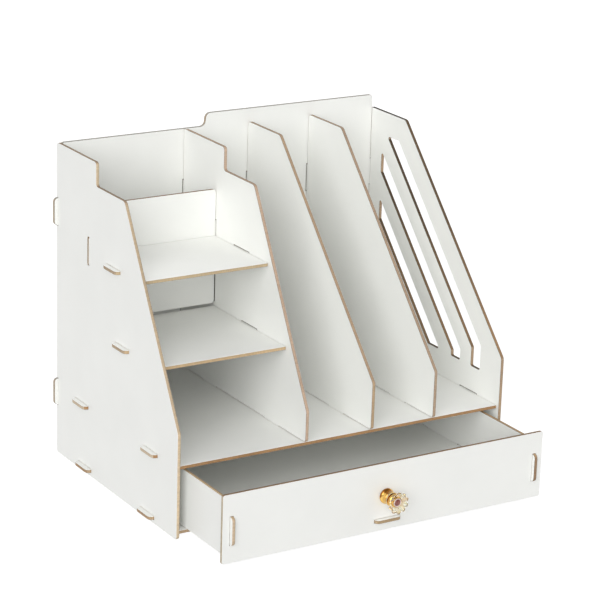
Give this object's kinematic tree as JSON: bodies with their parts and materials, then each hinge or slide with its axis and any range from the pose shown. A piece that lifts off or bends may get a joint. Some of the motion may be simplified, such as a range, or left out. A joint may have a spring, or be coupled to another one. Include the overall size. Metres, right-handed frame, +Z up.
{
  "type": "desk organizer with drawer",
  "caption": "Desk organizer of white slotted boards: a column of small shelves with a pen box behind, tall file bays beside it, and a wide sliding drawer with a small knob below.",
  "frame": {"origin": "on the desk, under the middle of the whole organizer with its drawer drawn out by 68.4 mm", "axes": "+Z up, +X to the right seen from the front, and the drawer opens toward -Y"},
  "size_m": [0.337, 0.3192, 0.3],
  "materials": {
    "board": "satin white laminate on both faces, bare brown fibreboard at the cut edges",
    "gold": "polished gold plating",
    "pearl": "pearly gloss",
    "crystal": "clear, cut in petals",
    "pink": "pale pink gloss",
    "rose": "dark rose, faceted",
    "steel": "plain"
  },
  "bodies": {
    "cabinet": {"left_side_panel": "board", "right_side_panel": "board", "back_panel": "board", "bottom_panel": "board", "base_shelf": "board", "column_divider": "board", "file_divider_left": "board", "file_divider_right": "board", "upper_shelf": "board", "middle_shelf": "board", "pen_box_front": "board", "pen_box_floor": "board"},
    "drawer": {"drawer_front": "board", "drawer_left_side": "board", "drawer_right_side": "board", "drawer_back": "board", "drawer_bottom": "board", "knob_base": "gold", "knob_collar": "pearl", "knob_bead": "gold", "knob_crystal": "crystal", "knob_gem_ring": "pink", "knob_gem": "rose", "knob_screw": "steel", "knob_washer": "steel"}
  },
  "joints": [
    {"name": "drawer_slide", "type": "slide", "parent": "cabinet", "child": "drawer", "axis": [0, -1, 0], "range_m": [-0.0684, 0.0816]}
  ]
}
